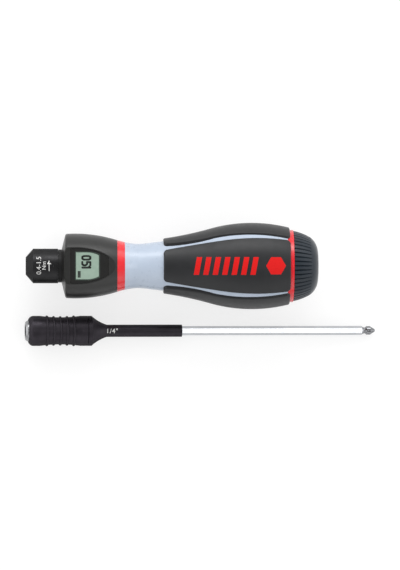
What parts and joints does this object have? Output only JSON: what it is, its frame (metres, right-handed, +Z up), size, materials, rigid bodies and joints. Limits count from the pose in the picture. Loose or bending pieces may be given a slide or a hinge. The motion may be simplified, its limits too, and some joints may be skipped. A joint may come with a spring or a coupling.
{
  "type": "torque screwdriver",
  "caption": "Torque screwdriver handle with a digital window, soft panelled grip and turning end cap, lying beside its separate bit-holder blade.",
  "frame": {"origin": "centre of the bounding box at floor level", "axes": "+X from the nose towards the end cap, +Y away from the blade, +Z up from the floor the tool lies on"},
  "size_m": [0.1778, 0.0618, 0.0434],
  "materials": {
    "black_anodised": "satin black anodised",
    "black_steel": "black oxide",
    "head_plastic": "fine satin",
    "window_lens": "dark glossy lens",
    "lcd": "grey-green display",
    "frame_plastic": "moulded",
    "board": "green laminate",
    "steel": "ground",
    "spring_steel": "drawn",
    "chrome_steel": "bright chrome",
    "brass": "turned",
    "red_plastic": "bright red, translucent",
    "grip_grey": "silver blue-grey",
    "soft_black": "soft matt",
    "cap_blue": "dark blue-grey satin",
    "seal_rubber": "matt"
  },
  "bodies": {
    "handle": {"nose_seal": "seal_rubber", "head_housing": "head_plastic", "front_bearing": "brass", "display_window": "window_lens", "lcd_screen": "lcd", "lcd_frame": "frame_plastic", "circuit_board": "board", "battery_cell": "steel", "battery_contact": "spring_steel", "battery_cover": "head_plastic", "clutch_balls": "steel", "pressure_plate": "steel", "mechanism_tube": "steel", "torque_spring": "spring_steel", "thrust_bearing": "steel", "rear_plug": "brass", "front_ring": "red_plastic", "grip_core": "grip_grey", "grip_panel_top": "soft_black", "grip_panel_back": "soft_black", "grip_panel_bottom": "soft_black", "grip_panel_front": "soft_black", "rear_ring": "red_plastic", "bit_bush": "steel", "bit_magnet": "steel", "bit_catch_ball": "steel", "sleeve_spring": "spring_steel", "holder_body": "black_anodised", "blade_shaft": "chrome_steel"},
    "drive": {"drive_nose": "black_anodised", "blade_catch_ring": "black_steel", "blade_catch_pin": "steel", "clutch_cam": "steel"},
    "setting": {"adjusting_screw": "steel", "cap_spring": "spring_steel", "cap_washer": "steel", "cap_screw": "steel"},
    "nut": {"adjusting_nut": "brass"},
    "cap": {"end_cap": "cap_blue"},
    "sleeve": {"release_sleeve": "black_anodised"}
  },
  "joints": [
    {"name": "drive_spin", "type": "hinge", "parent": "handle", "child": "drive", "pos_m": [-0.08859, 0.00932, 0.01481], "axis": [-0.9981, 0, -0.0611], "continuous": true},
    {"name": "setting_turn", "type": "hinge", "parent": "handle", "child": "setting", "pos_m": [0.05714, 0.00932, 0.02373], "axis": [-0.9981, 0, -0.0611], "range_deg": [-198, 1782]},
    {"name": "nut_travel", "type": "slide", "parent": "handle", "child": "nut", "axis": [-0.9981, 0, -0.0611], "range_m": [-0.0006, 0.005], "deforming": ["torque_spring"]},
    {"name": "cap_pull", "type": "slide", "parent": "setting", "child": "cap", "axis": [0.9981, 0, 0.0611], "range_m": [0, 0.003], "stiffness_N_per_m": 800, "springref_m": -0.002, "deforming": ["cap_spring"]},
    {"name": "sleeve_slide", "type": "slide", "parent": "handle", "child": "sleeve", "axis": [-0.9993, 0, 0.0377], "range_m": [0, 0.0025], "stiffness_N_per_m": 1200, "springref_m": -0.001, "deforming": ["sleeve_spring"]}
  ],
  "couplings": [
    {"joint": "nut_travel", "follows": "setting_turn", "m_per_rad": 0.00015915}
  ]
}
